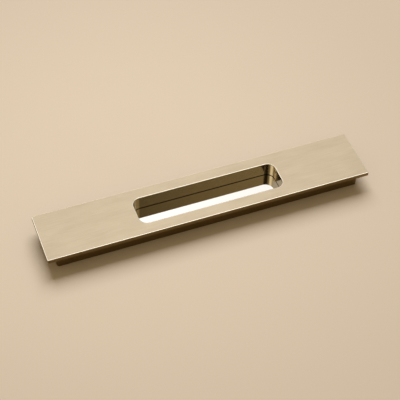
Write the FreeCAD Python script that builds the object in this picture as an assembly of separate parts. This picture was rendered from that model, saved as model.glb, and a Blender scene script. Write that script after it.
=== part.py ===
import FreeCAD, Part
import math
import os

# Concealed cabinet handle: a flush pull that drops into a pocket routed in a door or drawer front.
# Millimetres. +X runs along the face, +Y across it and +Z out of it. The origin is the middle of
# the back, so the part stands on Z = 0 with its face up.

# Finger slot, which lies a little to one side of the middle
slot_length = 108.0
slot_width = 23.4
slot_offset = 3.8
slot_corner_radius = 6.0
slot_lip_radius = 0.5
slot_foot_chamfer = 0.5
slot_foot_angle = 45.0

# Face plate, the flange that stays in sight on the door
face_thickness = 3.0
face_corner_radius = 0.8
face_edge_radius = 0.5
face_overhang_side = 3.0
face_overhang_end = 6.7

# Body behind the face, which fills the pocket
body_depth = 10.4
body_corner_radius = 2.0
body_foot_radius = 0.5
draft_angle = 1.0

# Tapped bosses for the two M4 screws that come through the door from behind
mount_spacing = 192.0
mount_to_body_end = 17.3
mount_thread_diameter = 4.0
mount_thread_depth = 9.0
mount_lead_in = 0.4
boss_diameter = 9.0

# Cores that lighten both ends from behind
end_wall = 2.4
rib_thickness = 2.0
core_corner_radius = 1.5
core_wall_beside_floor = 3.0

# Polished floor plate, let into the back
floor_thickness = 2.0
floor_side_land = 3.2
floor_end_land = 10.0
floor_corner_radius = 3.0
floor_gap = 0.15
floor_rim_wall = 2.75
floor_below_flush = 0.1

# Four M2.5 countersunk screws that hold the floor plate
screw_diameter = 2.5
screw_head_diameter = 4.7
screw_head_rim = 0.2
screw_length = 6.0
screw_spacing_y = 16.0
screw_hole_spare = 1.0
thread_gap = 0.05
head_gap = 0.05
recess_span = 2.7
recess_wing = 0.7
recess_point = 1.0
recess_depth = 1.1

# A drilled hole ends in the cone of the drill's point
drill_point_angle = 118.0

# Sizes that follow from the ones above
floor_length = slot_length + 2 * floor_end_land
floor_width = slot_width + 2 * floor_side_land
body_length = mount_spacing + 2 * mount_to_body_end
body_width = floor_width + 2 * (floor_gap + floor_rim_wall)
face_length = body_length + 2 * face_overhang_end
face_width = body_width + 2 * face_overhang_side
height = body_depth + face_thickness
seat_height = floor_below_flush + floor_thickness
screw_reach_x = slot_length / 2 + floor_end_land / 2
mount_x = mount_spacing / 2
core_inner_reach = floor_length / 2 + floor_gap + core_wall_beside_floor
core_outer_x = body_length / 2 - end_wall
core_outer_y = body_width / 2 - end_wall

up = FreeCAD.Vector(0, 0, 1)
tiny = 1e-6


def rounded_outline(length, width, radius, z, x=0.0, y=0.0):
    """A closed rectangle with rounded corners, centred on (x, y) at height z."""
    corner_x = length / 2 - radius
    corner_y = width / 2 - radius
    corners = [(corner_x, corner_y), (-corner_x, corner_y), (-corner_x, -corner_y), (corner_x, -corner_y)]
    arcs = []
    for turn, (across, along) in enumerate(corners):
        centre = FreeCAD.Vector(x + across, y + along, z)
        arcs.append(Part.makeCircle(radius, centre, up, 90 * turn, 90 * turn + 90))
    edges = []
    for arc, following in zip(arcs, arcs[1:] + arcs[:1]):
        edges.append(arc)
        edges.append(Part.makeLine(arc.lastVertex().Point, following.firstVertex().Point))
    return Part.Wire(edges)


def rounded_block(length, width, radius, z_low, z_high, x=0.0, y=0.0):
    """An upright block with rounded corners and straight sides."""
    outline = rounded_outline(length, width, radius, z_low, x, y)
    return Part.Face(outline).extrude(up * (z_high - z_low))


def tapered_block(length, width, radius, z_wide, z_narrow, angle, x=0.0, y=0.0):
    """A block whose sides lean in by the given angle from z_wide to z_narrow."""
    inset = abs(z_narrow - z_wide) * math.tan(math.radians(angle))
    wide = rounded_outline(length, width, radius, z_wide, x, y)
    narrow = rounded_outline(length - 2 * inset, width - 2 * inset, radius - inset, z_narrow, x, y)
    return Part.makeLoft([wide, narrow], True, True)


def edges_at(shape, z, half_length, middle_x=0.0):
    """The edges that lie flat at height z, no further from middle_x along X than half_length."""
    found = []
    for edge in shape.Edges:
        box = edge.BoundBox
        flat = abs(box.ZMin - z) < tiny and abs(box.ZMax - z) < tiny
        if flat and box.XMax < middle_x + half_length + tiny and box.XMin > middle_x - half_length - tiny:
            found.append(edge)
    return found


def turned(profile):
    """A solid turned about Z from a list of (radius, height) points."""
    points = [FreeCAD.Vector(radius, 0, z) for radius, z in profile]
    section = Part.Face(Part.makePolygon(points + points[:1]))
    return section.revolve(FreeCAD.Vector(0, 0, 0), up, 360)


def placed(shape, x, y, z=0.0):
    """A copy of the shape, moved from the origin."""
    copy = shape.copy()
    copy.translate(FreeCAD.Vector(x, y, z))
    return copy


def mount_hole():
    """The tapped blind hole of a mounting screw, with its bevelled mouth and its drill point."""
    radius = mount_thread_diameter / 2
    point = radius / math.tan(math.radians(drill_point_angle / 2))
    return turned([
        (0, 0),
        (radius + mount_lead_in, 0),
        (radius, mount_lead_in),
        (radius, mount_thread_depth),
        (0, mount_thread_depth + point),
    ])


def screw_hole():
    """The blind hole of a floor screw, flat at its end."""
    depth = floor_below_flush + screw_length - seat_height + screw_hole_spare
    hole = Part.makeCylinder(screw_diameter / 2 + thread_gap, depth)
    return placed(hole, 0, 0, seat_height)


def mount_places():
    """The centres of the two mounting bosses."""
    return [(-mount_x, 0.0), (mount_x, 0.0)]


def screw_places():
    """The centres of the four floor screws, two at each end of the slot."""
    columns = [slot_offset - screw_reach_x, slot_offset + screw_reach_x]
    rows = [-screw_spacing_y / 2, screw_spacing_y / 2]
    return [(x, y) for x in columns for y in rows]


def face_plate():
    """The face plate with its soft upper edge."""
    plate = rounded_block(face_length, face_width, face_corner_radius, body_depth, height)
    return plate.makeFillet(face_edge_radius, edges_at(plate, height, face_length / 2))


def body_block():
    """The block behind the face, with casting draft and an eased foot."""
    block = tapered_block(body_length, body_width, body_corner_radius, body_depth, 0, draft_angle)
    return block.makeFillet(body_foot_radius, edges_at(block, 0, body_length / 2))


def end_cores():
    """The pockets behind both ends, parted by ribs and standing clear of the bosses."""
    half_rib = rib_thickness / 2
    row_width = core_outer_y - half_rib
    row_middle = (core_outer_y + half_rib) / 2
    boss_foot_radius = boss_diameter / 2
    boss_root_radius = boss_foot_radius + body_depth * math.tan(math.radians(draft_angle))
    boss = Part.makeCone(boss_foot_radius, boss_root_radius, body_depth)
    cores = []
    for side in (-1, 1):
        inner_x = core_inner_reach + side * slot_offset
        stations = [inner_x - half_rib, mount_x, core_outer_x + half_rib]
        for near, far in zip(stations, stations[1:]):
            length = far - near - rib_thickness
            centre_x = side * (near + far) / 2
            for row in (-1, 1):
                core = tapered_block(
                    length, row_width, core_corner_radius, 0, body_depth, draft_angle, centre_x, row * row_middle
                )
                cores.append(core.cut(placed(boss, side * mount_x, 0)))
    return cores


def slot_cutter():
    """The finger slot, with the bevel round its foot that clears the floor plate."""
    opening = rounded_block(slot_length, slot_width, slot_corner_radius, 0, height + face_thickness)
    bevel = tapered_block(
        slot_length + 2 * slot_foot_chamfer,
        slot_width + 2 * slot_foot_chamfer,
        slot_corner_radius + slot_foot_chamfer,
        seat_height,
        seat_height + slot_foot_chamfer,
        slot_foot_angle,
    )
    return placed(opening.fuse(bevel), slot_offset, 0)


def floor_seat():
    """The rebate in the back that takes the floor plate."""
    length = floor_length + 2 * floor_gap
    width = floor_width + 2 * floor_gap
    return rounded_block(length, width, floor_corner_radius + floor_gap, 0, seat_height, slot_offset)


def handle_body():
    """One casting: face plate, slot walls, cored ends, bosses and the seat of the floor plate."""
    body = face_plate().fuse(body_block())
    cutters = end_cores() + [slot_cutter(), floor_seat()]
    cutters += [placed(mount_hole(), x, y) for x, y in mount_places()]
    cutters += [placed(screw_hole(), x, y) for x, y in screw_places()]
    body = body.cut(cutters).removeSplitter()
    return body.makeFillet(slot_lip_radius, edges_at(body, height, slot_length / 2, slot_offset))


def floor_plate():
    """The polished plate that closes the slot, countersunk from behind for its screws."""
    plate = rounded_block(
        floor_length, floor_width, floor_corner_radius, floor_below_flush, seat_height, slot_offset
    )
    shank = screw_diameter / 2 + thread_gap
    head = screw_head_diameter / 2 + head_gap
    countersink = turned([
        (0, floor_below_flush),
        (head, floor_below_flush),
        (head, floor_below_flush + screw_head_rim),
        (shank, floor_below_flush + screw_head_rim + head - shank),
        (shank, seat_height),
        (0, seat_height),
    ])
    return plate.cut([placed(countersink, x, y) for x, y in screw_places()])


def recess_blade():
    """One of the two crossed blades of the driver, narrowing to its point."""
    blade = Part.makeWedge(
        -recess_span / 2, 0, -recess_wing / 2, -recess_wing / 2, -recess_point / 2,
        recess_span / 2, recess_depth, recess_wing / 2, recess_wing / 2, recess_point / 2,
    )
    blade.rotate(FreeCAD.Vector(0, 0, 0), FreeCAD.Vector(1, 0, 0), 90)
    return blade


def floor_screw():
    """A countersunk screw with a cross recess, head down at the origin."""
    shank = screw_diameter / 2
    head = screw_head_diameter / 2
    screw = turned([
        (0, 0),
        (head, 0),
        (head, screw_head_rim),
        (shank, screw_head_rim + head - shank),
        (shank, screw_length),
        (0, screw_length),
    ])
    blade = recess_blade()
    crossed_blade = blade.copy()
    crossed_blade.rotate(FreeCAD.Vector(0, 0, 0), up, 90)
    return screw.cut(blade.fuse(crossed_blade))


def floor_screws():
    """All four floor screws, each a separate solid."""
    screw = floor_screw()
    return Part.makeCompound([placed(screw, x, y, floor_below_flush) for x, y in screw_places()])


nodes = {
    "handle_body": handle_body(),
    "floor_plate": floor_plate(),
    "floor_screws": floor_screws(),
}

os.makedirs("parts", exist_ok=True)
for name, shape in nodes.items():
    shape.exportStep("parts/" + name + ".step")
    box = shape.BoundBox
    print(name, len(shape.Solids), "solids", round(shape.Volume, 1), "mm3, valid", shape.isValid())
    print("   ", round(box.XLength, 3), round(box.YLength, 3), round(box.ZMin, 3), round(box.ZMax, 3))
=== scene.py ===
import math

import bpy
from mathutils import Matrix, Vector


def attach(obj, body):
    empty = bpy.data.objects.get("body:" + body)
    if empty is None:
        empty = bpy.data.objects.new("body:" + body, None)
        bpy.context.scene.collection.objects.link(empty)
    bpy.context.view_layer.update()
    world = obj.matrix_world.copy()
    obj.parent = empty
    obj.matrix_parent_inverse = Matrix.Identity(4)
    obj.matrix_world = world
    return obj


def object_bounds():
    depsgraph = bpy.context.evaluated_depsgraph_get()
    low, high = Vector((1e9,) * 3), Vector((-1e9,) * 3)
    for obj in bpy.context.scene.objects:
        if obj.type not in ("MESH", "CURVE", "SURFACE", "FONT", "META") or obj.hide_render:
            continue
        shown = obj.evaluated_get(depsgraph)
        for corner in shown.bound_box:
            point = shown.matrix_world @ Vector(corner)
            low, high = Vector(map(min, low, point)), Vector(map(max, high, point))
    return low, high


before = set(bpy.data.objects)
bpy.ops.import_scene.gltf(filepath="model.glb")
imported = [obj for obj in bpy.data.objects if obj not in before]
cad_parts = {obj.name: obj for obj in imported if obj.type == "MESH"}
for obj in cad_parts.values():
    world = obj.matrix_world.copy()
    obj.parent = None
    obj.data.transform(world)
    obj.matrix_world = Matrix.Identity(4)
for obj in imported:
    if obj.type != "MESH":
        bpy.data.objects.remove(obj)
cad_low, cad_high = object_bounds()


# Handle body
# One zinc casting: the face plate, the walls of the finger slot and the cored block behind it.
# Its face is ground along its length and its slot polished, and it is plated in champagne nickel all over.

def linear(hex_colour):
    """Turns an sRGB hex colour into the linear colour that the shaders work in."""
    channels = [int(hex_colour[start:start + 2], 16) / 255 for start in (1, 3, 5)]
    curved = [c / 12.92 if c <= 0.04045 else ((c + 0.055) / 1.055) ** 2.4 for c in channels]
    return (*curved, 1.0)


def add_node(tree, kind, values=None, links=None, **settings):
    """Adds a node with its settings, its sockets' values and its incoming links."""
    node = tree.nodes.new(kind)
    for name, value in settings.items():
        setattr(node, name, value)
    for socket, value in (values or {}).items():
        node.inputs[socket].default_value = value
    for socket, source in (links or {}).items():
        tree.links.new(source, node.inputs[socket])
    return node


def new_material(name):
    """An empty node material and its tree, with the output node in place."""
    material = bpy.data.materials.new(name)
    material.use_nodes = True
    tree = material.node_tree
    tree.nodes.clear()
    return material, tree, tree.nodes.new("ShaderNodeOutputMaterial")


# A Mix node has sockets of the same name for numbers and for colours, so these go by their places.
mix_share = 0
first_number = 2
second_number = 3
mixed_number = 0
first_colour = 6
second_colour = 7
mixed_colour = 2


champagne_light = "#DDCBAE"
champagne_deep = "#B29F83"
scratch_length = 0.018
scratch_spacing = 0.0005
scratch_depth = 0.000012
cloud_length = 0.022
cloud_width = 0.008
cloud_share = 0.45


def brushed_champagne():
    """Champagne nickel over a ground face: fine grain along the length, which streaks highlights across it,
    and a faint cloudiness from the wheel's passes.
    The real grit leaves lines about 0.1 mm apart; they are drawn 0.5 mm apart, so that they show."""
    material, tree, output = new_material("brushed_champagne_nickel")
    place = add_node(tree, "ShaderNodeTexCoord")
    stretch = add_node(
        tree, "ShaderNodeMapping",
        values={"Scale": (1 / scratch_length, 1 / scratch_spacing, 1 / scratch_spacing)},
        links={"Vector": place.outputs["Object"]},
    )
    grain = add_node(
        tree, "ShaderNodeTexNoise",
        values={"Scale": 1.0, "Detail": 4.0, "Roughness": 0.6},
        links={"Vector": stretch.outputs["Vector"]},
    )
    cloud_stretch = add_node(
        tree, "ShaderNodeMapping",
        values={"Scale": (1 / cloud_length, 1 / cloud_width, 1 / cloud_width)},
        links={"Vector": place.outputs["Object"]},
    )
    clouds = add_node(
        tree, "ShaderNodeTexNoise",
        values={"Scale": 1.0, "Detail": 3.0},
        links={"Vector": cloud_stretch.outputs["Vector"]},
    )
    tone = add_node(
        tree, "ShaderNodeMix", data_type="FLOAT",
        values={mix_share: cloud_share},
        links={first_number: grain.outputs["Fac"], second_number: clouds.outputs["Fac"]},
    )
    colour = add_node(
        tree, "ShaderNodeMix", data_type="RGBA",
        values={first_colour: linear(champagne_deep), second_colour: linear(champagne_light)},
        links={mix_share: tone.outputs[mixed_number]},
    )
    roughness = add_node(
        tree, "ShaderNodeMapRange",
        values={"From Min": 0.3, "From Max": 0.7, "To Min": 0.30, "To Max": 0.42},
        links={"Value": grain.outputs["Fac"]},
    )
    bump = add_node(
        tree, "ShaderNodeBump",
        values={"Strength": 0.35, "Distance": scratch_depth},
        links={"Height": grain.outputs["Fac"]},
    )
    tangent = add_node(tree, "ShaderNodeTangent", direction_type="RADIAL", axis="X")
    shader = add_node(
        tree, "ShaderNodeBsdfPrincipled",
        values={"Metallic": 1.0, "Anisotropic": 0.55},
        links={
            "Base Color": colour.outputs[mixed_colour],
            "Roughness": roughness.outputs["Result"],
            "Normal": bump.outputs["Normal"],
            "Tangent": tangent.outputs["Tangent"],
        },
    )
    tree.links.new(shader.outputs["BSDF"], output.inputs["Surface"])
    return material


buffing_wave = 0.0055


def polished_champagne():
    """The same plating over a buffed wall: nearly a mirror, with the faint waviness of hand buffing."""
    material, tree, output = new_material("polished_champagne_nickel")
    place = add_node(tree, "ShaderNodeTexCoord")
    waves = add_node(
        tree, "ShaderNodeTexNoise",
        values={"Scale": 1 / buffing_wave, "Detail": 2.0},
        links={"Vector": place.outputs["Object"]},
    )
    colour = add_node(
        tree, "ShaderNodeMix", data_type="RGBA",
        values={first_colour: linear("#A9956C"), second_colour: linear("#B6A27A")},
        links={mix_share: waves.outputs["Fac"]},
    )
    roughness = add_node(
        tree, "ShaderNodeMapRange",
        values={"To Min": 0.08, "To Max": 0.16},
        links={"Value": waves.outputs["Fac"]},
    )
    bump = add_node(
        tree, "ShaderNodeBump",
        values={"Strength": 0.2, "Distance": 0.00004},
        links={"Height": waves.outputs["Fac"]},
    )
    shader = add_node(
        tree, "ShaderNodeBsdfPrincipled",
        values={"Metallic": 1.0},
        links={
            "Base Color": colour.outputs[mixed_colour],
            "Roughness": roughness.outputs["Result"],
            "Normal": bump.outputs["Normal"],
        },
    )
    tree.links.new(shader.outputs["BSDF"], output.inputs["Surface"])
    return material


mould_grain = 0.0007


def plated_casting():
    """Plating straight over the cast skin, as on the back: duller, with the fine grain of the mould, and
    drawn much darker than the face as painted shade.
    The real grain is about 0.1 mm; it is drawn 0.7 mm, so that it shows."""
    material, tree, output = new_material("plated_casting_painted_shade")
    place = add_node(tree, "ShaderNodeTexCoord")
    skin = add_node(
        tree, "ShaderNodeTexNoise",
        values={"Scale": 1 / mould_grain, "Detail": 3.0},
        links={"Vector": place.outputs["Object"]},
    )
    colour = add_node(
        tree, "ShaderNodeMix", data_type="RGBA",
        values={first_colour: linear("#786440"), second_colour: linear("#8A754F")},
        links={mix_share: skin.outputs["Fac"]},
    )
    roughness = add_node(
        tree, "ShaderNodeMapRange",
        values={"To Min": 0.26, "To Max": 0.40},
        links={"Value": skin.outputs["Fac"]},
    )
    bump = add_node(
        tree, "ShaderNodeBump",
        values={"Strength": 0.4, "Distance": 0.00008},
        links={"Height": skin.outputs["Fac"]},
    )
    shader = add_node(
        tree, "ShaderNodeBsdfPrincipled",
        values={"Metallic": 1.0},
        links={
            "Base Color": colour.outputs[mixed_colour],
            "Roughness": roughness.outputs["Result"],
            "Normal": bump.outputs["Normal"],
        },
    )
    tree.links.new(shader.outputs["BSDF"], output.inputs["Surface"])
    return material


highlight_patch = 0.0045


def bright_edge():
    """The eased edges, drawn much paler than the plating as a painted highlight, so that they catch the
    light as bright fine lines, in faint patches.
    """
    material, tree, output = new_material("painted_highlight_edge")
    place = add_node(tree, "ShaderNodeTexCoord")
    highlight_patches = add_node(
        tree, "ShaderNodeTexNoise",
        values={"Scale": 1 / highlight_patch, "Detail": 2.0},
        links={"Vector": place.outputs["Object"]},
    )
    colour = add_node(
        tree, "ShaderNodeMix", data_type="RGBA",
        values={first_colour: linear("#F5E7CE"), second_colour: linear("#FBF0DB")},
        links={mix_share: highlight_patches.outputs["Fac"]},
    )
    shader = add_node(
        tree, "ShaderNodeBsdfPrincipled",
        values={"Metallic": 1.0, "Roughness": 0.16},
        links={"Base Color": colour.outputs[mixed_colour]},
    )
    tree.links.new(shader.outputs["BSDF"], output.inputs["Surface"])
    return material


joint_shade_speck = 0.0011


def joint_shadow():
    """The bevel at the foot of the slot's walls, painted nearly black as the shade in the joint with the
    floor plate.
    """
    material, tree, output = new_material("painted_joint_shade")
    place = add_node(tree, "ShaderNodeTexCoord")
    specks = add_node(
        tree, "ShaderNodeTexNoise",
        values={"Scale": 1 / joint_shade_speck},
        links={"Vector": place.outputs["Object"]},
    )
    colour = add_node(
        tree, "ShaderNodeMix", data_type="RGBA",
        values={first_colour: linear("#140C04"), second_colour: linear("#22170A")},
        links={mix_share: specks.outputs["Fac"]},
    )
    shader = add_node(
        tree, "ShaderNodeBsdfPrincipled",
        values={"Roughness": 0.8, "Specular IOR Level": 0.05},
        links={"Base Color": colour.outputs[mixed_colour]},
    )
    tree.links.new(shader.outputs["BSDF"], output.inputs["Surface"])
    return material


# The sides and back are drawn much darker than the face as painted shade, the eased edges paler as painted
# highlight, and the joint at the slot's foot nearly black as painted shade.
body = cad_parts["handle_body"]
body_materials = [brushed_champagne(), polished_champagne(), plated_casting(), bright_edge(), joint_shadow()]
BRUSHED, POLISHED, CAST_SHADED, EDGE_HIGHLIGHT, JOINT_SHADE = range(len(body_materials))

slot_length = 0.108
slot_width = 0.0234
slot_middle_x = 0.0038
foot_bevel = 0.0005
edge_radius = 0.0005
hair = 0.0001
slot_reach_x = slot_length / 2 + foot_bevel + hair
slot_reach_y = slot_width / 2 + foot_bevel + hair

# The height of a face's normal tells how it lies.
level_face = 0.999
edge_face = 0.6
undercut_face = -0.3


def finish_of(centre, normal):
    """Which of the body's finishes, with their painted shade and highlight, a face has, from where it is and
    which way it looks.
    """
    if centre.z > cad_high.z - edge_radius - hair and normal.z > edge_face:
        # Faces of the top's eased edge get the painted highlight.
        return BRUSHED if normal.z > level_face else EDGE_HIGHLIGHT
    in_slot = abs(centre.x - slot_middle_x) < slot_reach_x and abs(centre.y) < slot_reach_y
    # The bevels at the foot of the slot's walls get the painted joint shade.
    if in_slot and normal.z < undercut_face:
        return JOINT_SHADE
    # Faces outside the slot get the darker plating with its painted shade.
    return POLISHED if in_slot else CAST_SHADED


body.data.materials.clear()
for material in body_materials:
    body.data.materials.append(material)
for face in body.data.polygons:
    face.material_index = finish_of(face.center, face.normal)


# Mounting threads
# The ridges of the M4 threads in the two bosses, which the solids leave as plain holes.
# They are tapped in the casting before it is plated, so they have the colour of its slot.

mount_spacing = 0.192
thread_pitch = 0.0007
ridge_half_width = 0.38 * thread_pitch
thread_outer = 0.00203
thread_inner = 0.00165
thread_start = 0.0008
thread_end = 0.0086
thread_steps = 24


def thread_ridge(name, centre_x):
    """One helical ridge with a three-cornered section, closed at both ends."""
    steps = round((thread_end - thread_start) / thread_pitch * thread_steps)
    section = ((thread_outer, -ridge_half_width), (thread_inner, 0.0), (thread_outer, ridge_half_width))
    points = []
    for step in range(steps + 1):
        turn = 2 * math.pi * step / thread_steps
        middle = thread_start + thread_pitch * step / thread_steps
        for radius, above_middle in section:
            across = centre_x + radius * math.cos(turn)
            points.append((across, radius * math.sin(turn), middle + above_middle))
    faces = [(0, 1, 2), (3 * steps + 2, 3 * steps + 1, 3 * steps)]
    for step in range(steps):
        for corner in range(3):
            following = (corner + 1) % 3
            here = 3 * step
            faces.append((here + following, here + corner, here + 3 + corner, here + 3 + following))
    mesh = bpy.data.meshes.new(name)
    mesh.from_pydata(points, [], faces)
    ridge = bpy.data.objects.new(name, mesh)
    bpy.context.scene.collection.objects.link(ridge)
    return ridge


thread_metal = body_materials[POLISHED]
for name, side in (("mounting_thread_left", -1), ("mounting_thread_right", 1)):
    ridge = thread_ridge(name, side * mount_spacing / 2)
    ridge.data.materials.append(thread_metal)
    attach(ridge, "root")


# Floor plate
# A mirror-polished stainless plate, let into the back of the casting, and the floor of the slot.
# It is cut from 2 mm sheet and countersunk from behind for its four screws.

polish_haze = 0.004


def mirror_steel():
    """Polished stainless steel: a clear mirror, a little hazier in patches a few millimetres wide."""
    material, tree, output = new_material("mirror_polished_stainless")
    place = add_node(tree, "ShaderNodeTexCoord")
    haze = add_node(
        tree, "ShaderNodeTexNoise",
        values={"Scale": 1 / polish_haze, "Detail": 3.0},
        links={"Vector": place.outputs["Object"]},
    )
    roughness = add_node(
        tree, "ShaderNodeMapRange",
        values={"To Min": 0.02, "To Max": 0.07},
        links={"Value": haze.outputs["Fac"]},
    )
    shader = add_node(
        tree, "ShaderNodeBsdfPrincipled",
        values={"Metallic": 1.0, "Base Color": linear("#F2EEE8")},
        links={"Roughness": roughness.outputs["Result"]},
    )
    tree.links.new(shader.outputs["BSDF"], output.inputs["Surface"])
    return material


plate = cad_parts["floor_plate"]
plate.data.materials.clear()
plate.data.materials.append(mirror_steel())


# Floor screws
# Four countersunk steel screws with a cross recess, zinc-plated.
# They go up through the floor plate into blind holes in the casting.

plating_cloud = 0.0014


def zinc_plate():
    """Bright zinc plating: a cool grey metal, slightly clouded."""
    material, tree, output = new_material("bright_zinc_plating")
    place = add_node(tree, "ShaderNodeTexCoord")
    clouds = add_node(
        tree, "ShaderNodeTexNoise",
        values={"Scale": 1 / plating_cloud, "Detail": 3.0},
        links={"Vector": place.outputs["Object"]},
    )
    roughness = add_node(
        tree, "ShaderNodeMapRange",
        values={"To Min": 0.22, "To Max": 0.38},
        links={"Value": clouds.outputs["Fac"]},
    )
    colour = add_node(
        tree, "ShaderNodeMix", data_type="RGBA",
        values={first_colour: linear("#B5B3AE"), second_colour: linear("#C9C8C6")},
        links={mix_share: clouds.outputs["Fac"]},
    )
    shader = add_node(
        tree, "ShaderNodeBsdfPrincipled",
        values={"Metallic": 1.0},
        links={"Base Color": colour.outputs[mixed_colour], "Roughness": roughness.outputs["Result"]},
    )
    tree.links.new(shader.outputs["BSDF"], output.inputs["Surface"])
    return material


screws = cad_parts["floor_screws"]
screws.data.materials.clear()
screws.data.materials.append(zinc_plate())


# Ground
# A plain pale sheet of paper under the part, warm and matt, which takes its shadow.
# It lies a hair below the part's back, so that the two don't share a plane.

ground_reach = 6.0
ground_level = -0.00005
bright_spot = (-0.05, 0.045, 0.0)
paper_mottle = 0.033


def matt_paper():
    """Uncoated paper: no shine, a faint mottle, and painted a little dimmer away from the lamp's bright
    spot, a painted falloff of its light.
    """
    material, tree, output = new_material("warm_matt_paper")
    place = add_node(tree, "ShaderNodeTexCoord")
    mottle = add_node(
        tree, "ShaderNodeTexNoise",
        values={"Scale": 1 / paper_mottle, "Detail": 2.0},
        links={"Vector": place.outputs["Object"]},
    )
    paper = add_node(
        tree, "ShaderNodeMix", data_type="RGBA",
        values={first_colour: linear("#DAC8AF"), second_colour: linear("#DCCAB1")},
        links={mix_share: mottle.outputs["Fac"]},
    )
    # Painted light: the paper's colour darkens away from the bright spot, standing in for the lamp's
    # falloff.
    away = add_node(
        tree, "ShaderNodeVectorMath", operation="DISTANCE",
        values={1: bright_spot},
        links={0: place.outputs["Object"]},
    )
    painted_falloff = add_node(
        tree, "ShaderNodeMapRange", interpolation_type="SMOOTHSTEP",
        values={"From Min": 0.05, "From Max": 0.32},
        links={"Value": away.outputs["Value"]},
    )
    colour = add_node(
        tree, "ShaderNodeMix", data_type="RGBA",
        values={second_colour: linear("#CBBAA2")},
        links={mix_share: painted_falloff.outputs["Result"], first_colour: paper.outputs[mixed_colour]},
    )
    shader = add_node(
        tree, "ShaderNodeBsdfPrincipled",
        values={"Roughness": 0.9, "Specular IOR Level": 0.1},
        links={"Base Color": colour.outputs[mixed_colour]},
    )
    tree.links.new(shader.outputs["BSDF"], output.inputs["Surface"])
    return material


corners = [(-ground_reach, -ground_reach), (ground_reach, -ground_reach)]
corners += [(x, -y) for x, y in reversed(corners)]
ground_mesh = bpy.data.meshes.new("ground")
ground_mesh.from_pydata([(x, y, ground_level) for x, y in corners], [], [(0, 1, 2, 3)])
ground = bpy.data.objects.new("ground", ground_mesh)
bpy.context.scene.collection.objects.link(ground)
ground_mesh.materials.append(matt_paper())


# Light
# A soft box behind and above the part casts its shadow and lights the paper, and metal doesn't show it.
# What metal shows is a room: brightest overhead and at a window on the left, pale at the back and dim at the
# front, where the viewer stands.

box_distance = 4.0
box_rise = 48.6
box_side = 1.03
box_width = 3.4
box_height = 2.77
box_radiance = 6.66

box_light = bpy.data.lights.new("soft_box", "AREA")
box_light.shape = "RECTANGLE"
box_light.size = box_width
box_light.size_y = box_height
box_light.energy = math.pi * box_width * box_height * box_radiance
box_light.color = (0.981, 1.028, 1.143)
soft_box = bpy.data.objects.new("soft_box", box_light)
rise = math.radians(box_rise)
soft_box.location = Vector((box_side, box_distance * math.cos(rise), box_distance * math.sin(rise)))
aim = Vector((box_side, 0, 0)) - soft_box.location
soft_box.rotation_euler = aim.to_track_quat("-Z", "Y").to_euler()
soft_box.visible_glossy = False
bpy.context.scene.collection.objects.link(soft_box)

room = bpy.data.worlds.new("room")
room.use_nodes = True
bpy.context.scene.world = room
tree = room.node_tree
tree.nodes.clear()
way = add_node(tree, "ShaderNodeTexCoord")
part_of_way = add_node(tree, "ShaderNodeSeparateXYZ", links={0: way.outputs["Generated"]})

toward = {
    "right": part_of_way.outputs["X"],
    "back": part_of_way.outputs["Y"],
    "sky": part_of_way.outputs["Z"],
}
overhead_way = Vector((0.25, -0.06, 0.97)).normalized()
window_way = Vector((-0.985, 0.174, 0.0))
for name, direction in (("overhead", overhead_way), ("window", window_way)):
    nearness = add_node(
        tree, "ShaderNodeVectorMath", operation="DOT_PRODUCT",
        values={1: direction},
        links={0: way.outputs["Generated"]},
    )
    toward[name] = nearness.outputs["Value"]


def grey(level):
    """A neutral light of that level."""
    return (level, level, level, 1.0)


# Each row mixes two lights into one. It has its name, the direction in which the light changes, where the
# change starts and ends on the way there, and the lights before and after it. A light is a colour or the
# name of an earlier row.
room_lights = (
    ("front_left", "right", -0.42, -0.32, (0.26, 0.23, 0.17, 1.0), (0.03, 0.024, 0.012, 1.0)),
    ("front_high", "right", 0.05, 0.38, "front_left", (0.43, 0.37, 0.26, 1.0)),
    ("front", "sky", 0.45, 0.65, grey(0.5), "front_high"),
    ("back_right", "right", 0.15, 0.55, grey(1.24), grey(0.85)),
    ("back_high", "right", -0.3, 0.25, grey(0.72), "back_right"),
    ("back", "sky", 0.1, 0.4, (0.13, 0.11, 0.08, 1.0), "back_high"),
    ("walls", "back", -0.3, 0.2, "front", "back"),
    ("window_foot", "back", 0.2, 0.45, grey(0.85), grey(1.7)),
    ("window_top", "back", -0.05, 0.25, grey(1.7), grey(0.78)),
    ("window", "sky", 0.6, 0.7, "window_foot", "window_top"),
    ("walls_with_window", "window", 0.42, 0.65, "walls", "window"),
    ("above_horizon", "sky", 0.02, 0.25, (0.25, 0.22, 0.17, 1.0), "walls_with_window"),
    ("whole_room", "overhead", 0.92, 0.97, "above_horizon", grey(2.3)),
)
made = {}
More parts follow.
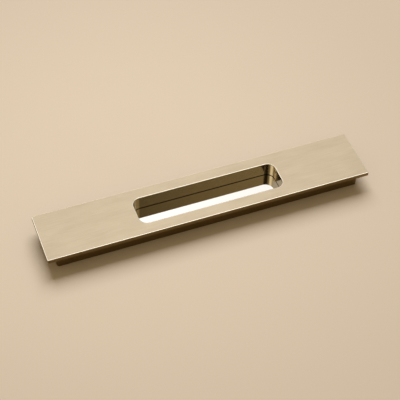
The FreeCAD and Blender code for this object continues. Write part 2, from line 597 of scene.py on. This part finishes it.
for name, direction, start, end, before, after in room_lights:
    change = add_node(
        tree, "ShaderNodeMapRange", interpolation_type="SMOOTHSTEP",
        values={"From Min": start, "From Max": end},
        links={"Value": toward[direction]},
    )
    mix = add_node(tree, "ShaderNodeMix", data_type="RGBA", links={mix_share: change.outputs["Result"]})
    for socket, light in ((first_colour, before), (second_colour, after)):
        if isinstance(light, str):
            tree.links.new(made[light], mix.inputs[socket])
        else:
            mix.inputs[socket].default_value = light
    made[name] = mix.outputs[mixed_colour]

# Metal sees the room, matt surfaces get an even warm fill, and the camera sees the colour of the paper.
fill = (0.352, 0.293, 0.191, 1.0)
ray = add_node(tree, "ShaderNodeLightPath")
lit = add_node(
    tree, "ShaderNodeMix", data_type="RGBA",
    values={first_colour: fill},
    links={mix_share: ray.outputs["Is Glossy Ray"], second_colour: made["whole_room"]},
)
seen = add_node(
    tree, "ShaderNodeMix", data_type="RGBA",
    values={second_colour: linear("#DCC9AD")},
    links={mix_share: ray.outputs["Is Camera Ray"], first_colour: lit.outputs[mixed_colour]},
)
background = add_node(
    tree, "ShaderNodeBackground",
    values={"Strength": 1.0},
    links={"Color": seen.outputs[mixed_colour]},
)
sky = add_node(tree, "ShaderNodeOutputWorld", links={"Surface": background.outputs["Background"]})


# Camera
# It stands at the front left and looks down on the face, with its own horizon all but level.
# Its place, turn and focal length come from the part's straight edges in the photograph.

photo_width = 400
focal_pixels = 1145.032
azimuth = math.radians(-21.96777)
elevation = math.radians(49.06982)
roll = math.radians(1.738596)
distance = 0.810882
step_right = -0.002543
step_up = -0.00424

backward = Vector((
    math.sin(azimuth) * math.cos(elevation),
    -math.cos(azimuth) * math.cos(elevation),
    math.sin(elevation),
))
level = Vector((math.cos(azimuth), math.sin(azimuth), 0))
upward = backward.cross(level)
right = math.cos(roll) * level + math.sin(roll) * upward
top = -math.sin(roll) * level + math.cos(roll) * upward
camera_data = bpy.data.cameras.new("camera")
camera_data.sensor_width = 36
camera_data.lens = camera_data.sensor_width * focal_pixels / photo_width
camera_data.clip_start = 0.01
camera = bpy.data.objects.new("camera", camera_data)
eye = Vector((0, 0, cad_high.z)) + backward * distance + right * step_right + top * step_up
camera.matrix_world = Matrix.Translation(eye) @ Matrix((right, top, backward)).transposed().to_4x4()
bpy.context.scene.collection.objects.link(camera)
bpy.context.scene.camera = camera

bpy.context.scene.view_settings.view_transform = "Standard"
